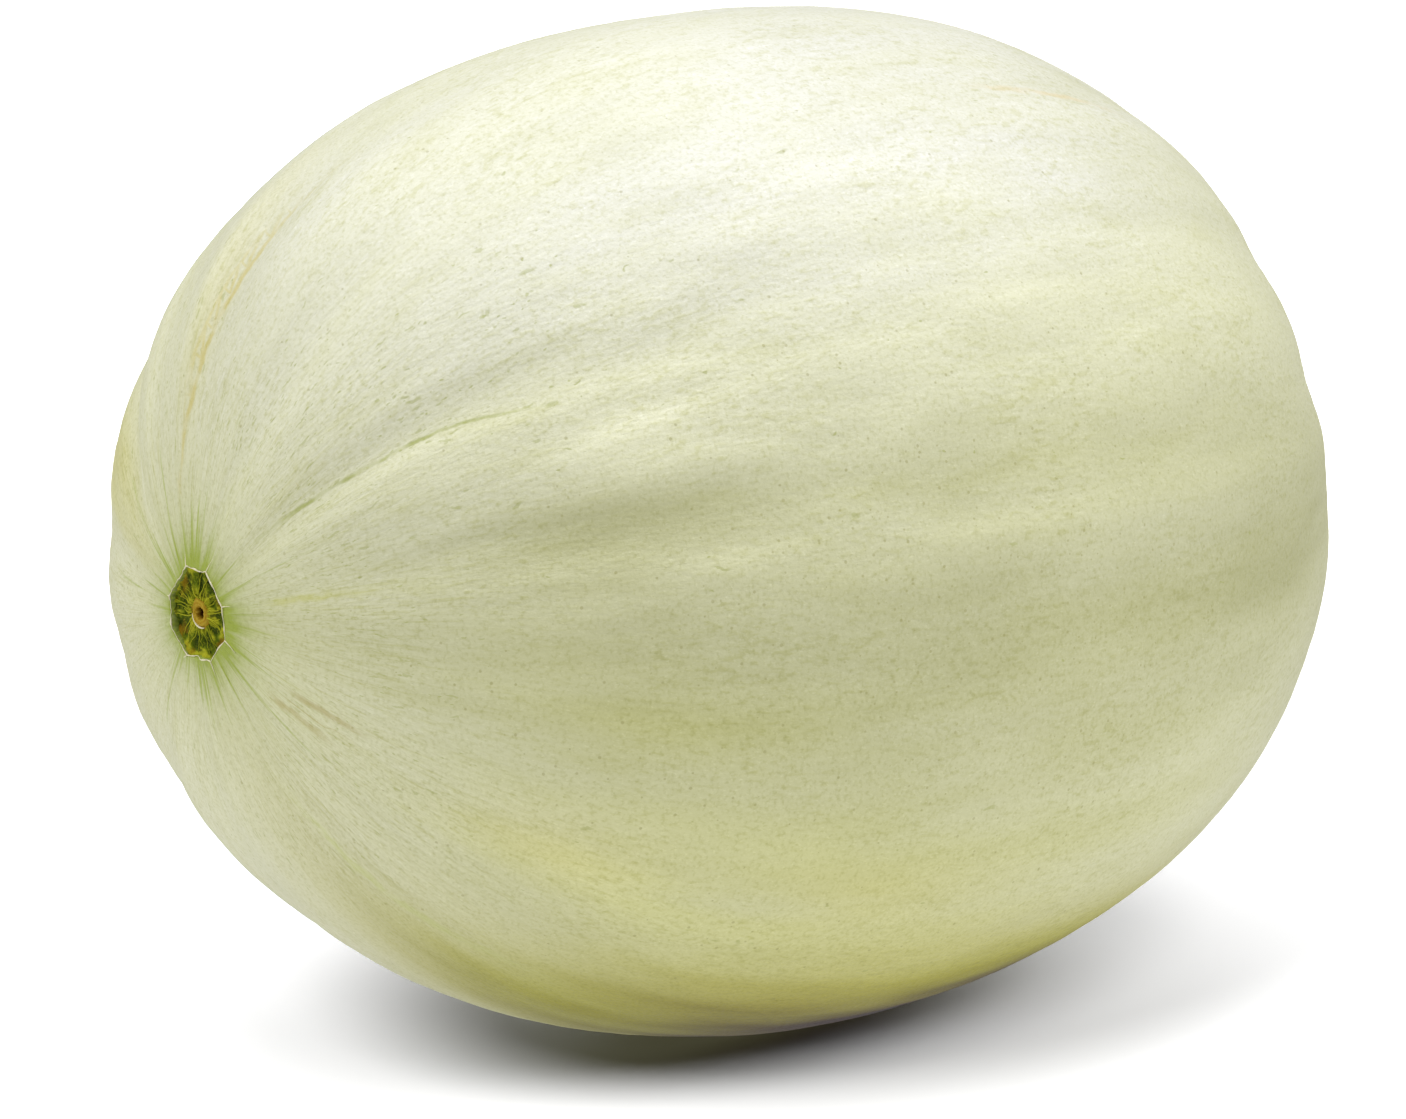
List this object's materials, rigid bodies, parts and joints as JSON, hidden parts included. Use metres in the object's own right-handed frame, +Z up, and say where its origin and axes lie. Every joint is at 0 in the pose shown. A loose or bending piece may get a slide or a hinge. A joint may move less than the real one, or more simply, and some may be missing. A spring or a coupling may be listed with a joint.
{
  "type": "melon",
  "caption": "Whole pale cream-green melon, oblong and softly ribbed, with a round stem scar, lying on its side on a small flat spot.",
  "frame": {"origin": "centre of the bounding box on the plane the melon rests on", "axes": "+X along the melon's length from the stem end to the blossom end, +Z up, the side with the yellower ground spot faces -Y"},
  "size_m": [0.2246, 0.1614, 0.1686],
  "materials": {
    "rind": "satin waxy skin, finely leathery, cream to pale green with a yellow ground spot"
  },
  "bodies": {
    "root": {"melon": "rind"}
  },
  "joints": []
}
